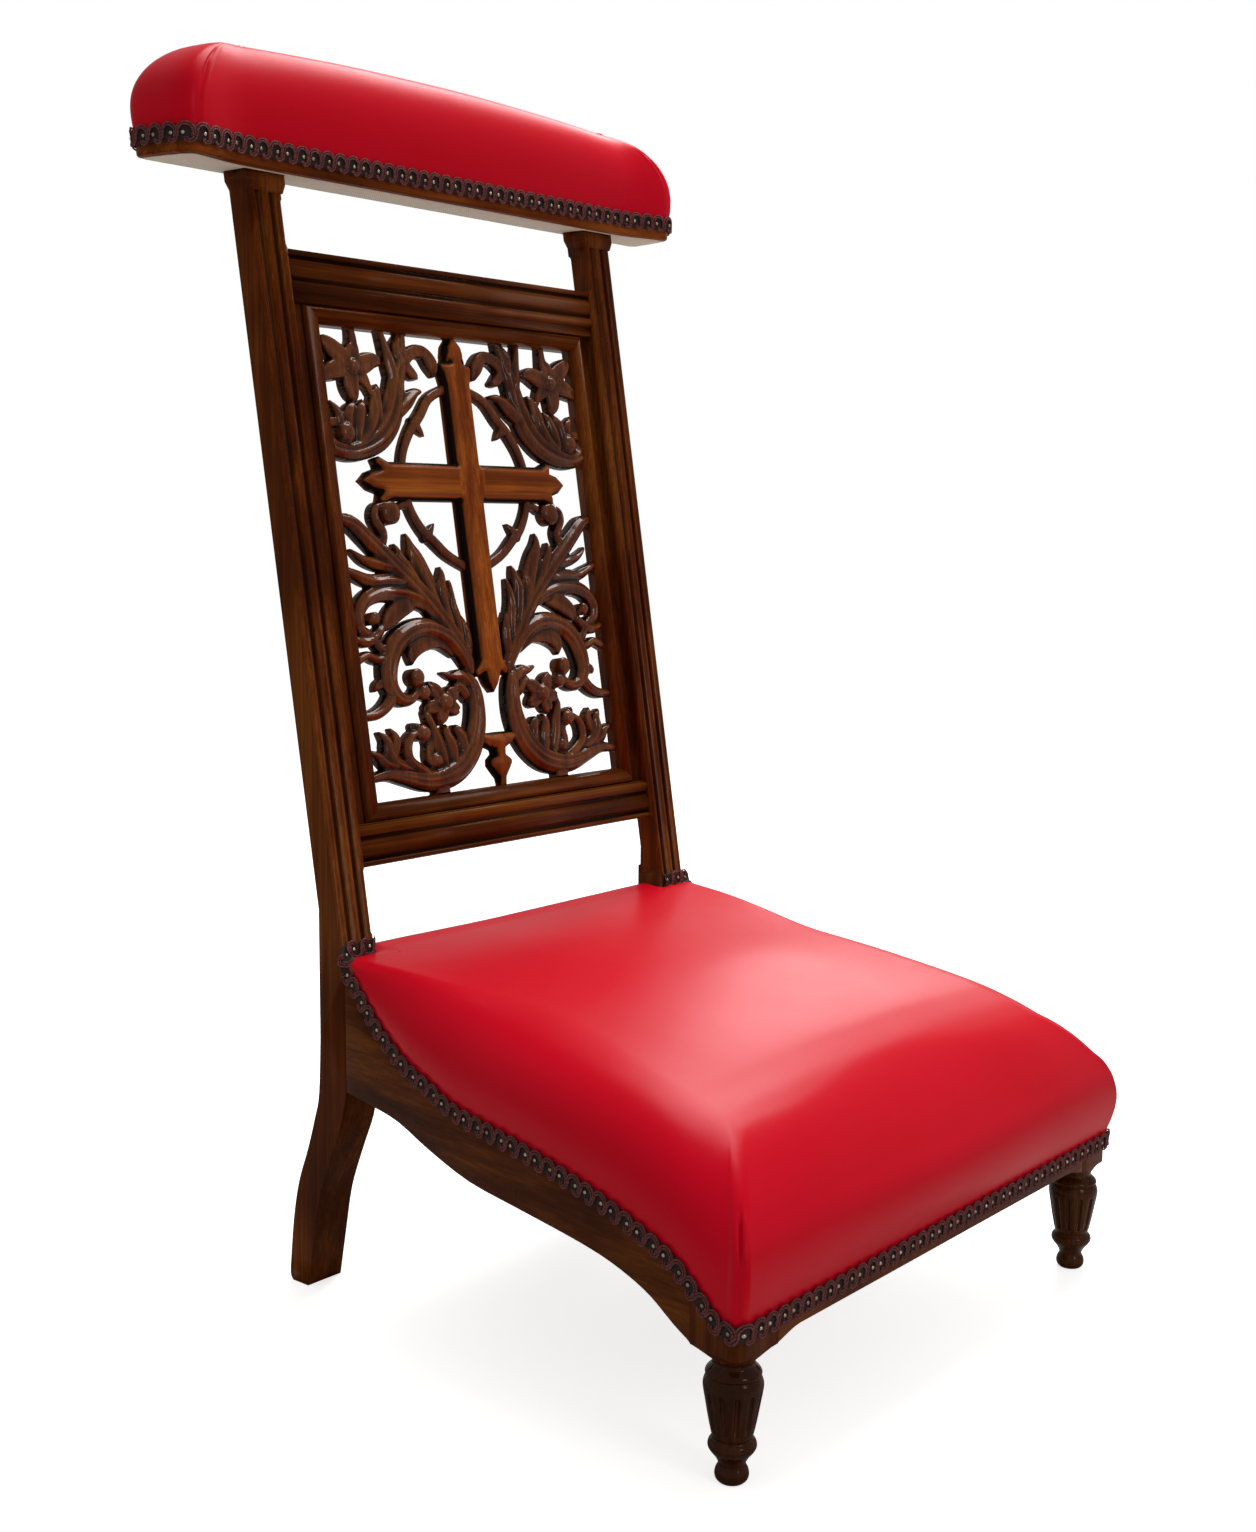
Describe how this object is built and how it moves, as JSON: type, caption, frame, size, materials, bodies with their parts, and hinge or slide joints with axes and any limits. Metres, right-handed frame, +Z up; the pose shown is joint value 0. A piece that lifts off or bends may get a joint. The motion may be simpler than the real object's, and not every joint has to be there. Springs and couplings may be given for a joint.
{
  "type": "prie-dieu chair",
  "caption": "Low kneeling chair for prayer with a tall raked back, a pierced carved panel and a padded armrest on top.",
  "frame": {"origin": "on the floor, at the middle of the chair's bounding box", "axes": "+Z up, +X across the chair to the sitter's left, the front of the seat faces -Y"},
  "size_m": [0.6072, 0.5884, 1.007],
  "materials": {
    "mahogany": "french polish",
    "carved_mahogany": "french polish",
    "red_leather": "smooth",
    "gimp_braid": "braided",
    "dome_nails": "polished",
    "lining_cloth": "woven",
    "jute_webbing": "woven",
    "hessian": "woven",
    "hair": "matted"
  },
  "bodies": {
    "root": {"stile_left": "mahogany", "stile_right": "mahogany", "top_rail": "mahogany", "bottom_rail": "mahogany", "moulding_top": "carved_mahogany", "moulding_bottom": "carved_mahogany", "moulding_left": "carved_mahogany", "moulding_right": "carved_mahogany", "carved_panel": "carved_mahogany", "side_rail_left": "mahogany", "side_rail_right": "mahogany", "front_rail": "mahogany", "back_rail": "mahogany", "corner_post_left": "mahogany", "corner_post_right": "mahogany", "front_leg_left": "mahogany", "front_leg_right": "mahogany", "corner_braces": "mahogany", "seat_webbing": "jute_webbing", "seat_hessian": "hessian", "seat_stuffing": "hair", "seat_cover": "red_leather", "seat_gimp": "gimp_braid", "armrest_board": "mahogany", "armrest_lining": "lining_cloth", "armrest_stuffing": "hair", "armrest_cover": "red_leather", "armrest_gimp": "gimp_braid"}
  },
  "joints": []
}
